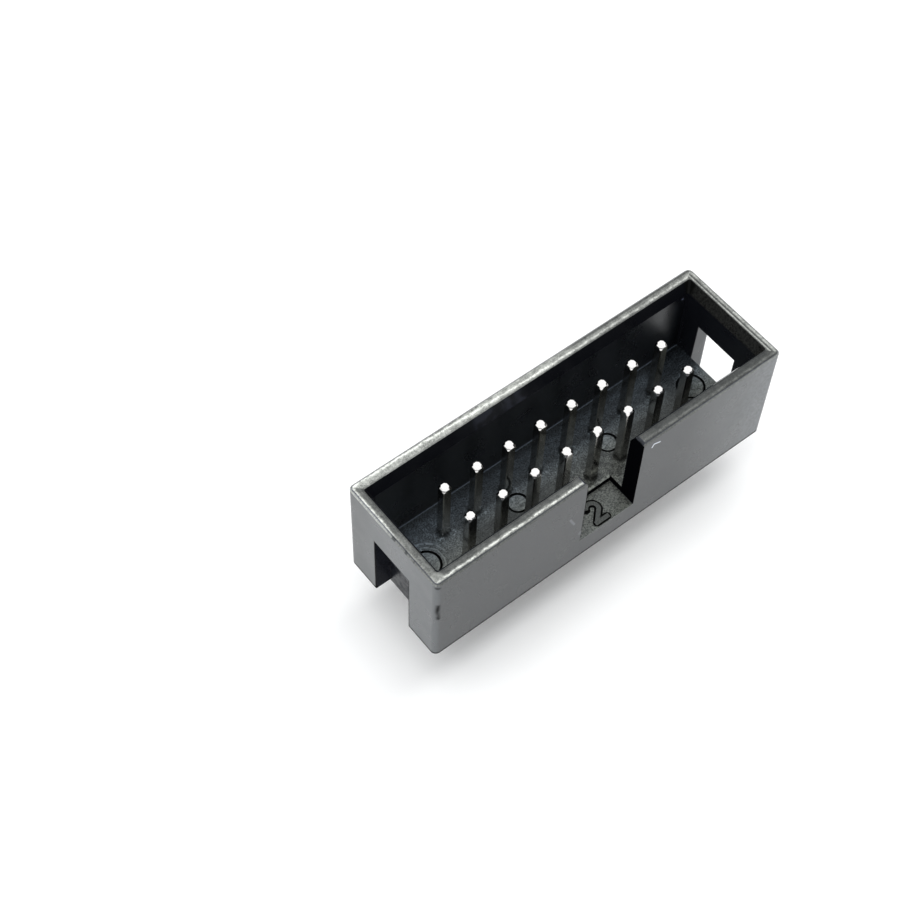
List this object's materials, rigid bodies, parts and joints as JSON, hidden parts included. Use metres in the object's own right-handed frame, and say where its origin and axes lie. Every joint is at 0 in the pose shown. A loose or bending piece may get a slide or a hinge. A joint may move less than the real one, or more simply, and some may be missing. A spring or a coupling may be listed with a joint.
{
  "type": "right-angle box header",
  "caption": "Walled and keyed board connector for flat ribbon cable, with rows of square contacts bent into right-angle solder tails.",
  "frame": {"origin": "centre of the contact field on the floor of the mating cavity", "axes": "+X along the length of the header, +Y toward the board side where the solder tails leave, +Z out of the mouth, the way a plug leaves"},
  "size_m": [0.028, 0.0118, 0.0137],
  "materials": {
    "housing_plastic": "satin black moulded thermoplastic",
    "contact_plating": "bright tin plating over a copper alloy"
  },
  "bodies": {
    "root": {"housing": "housing_plastic", "contact_01": "contact_plating", "contact_02": "contact_plating", "contact_03": "contact_plating", "contact_04": "contact_plating", "contact_05": "contact_plating", "contact_06": "contact_plating", "contact_07": "contact_plating", "contact_08": "contact_plating", "contact_09": "contact_plating", "contact_10": "contact_plating", "contact_11": "contact_plating", "contact_12": "contact_plating", "contact_13": "contact_plating", "contact_14": "contact_plating", "contact_15": "contact_plating", "contact_16": "contact_plating"}
  },
  "joints": []
}
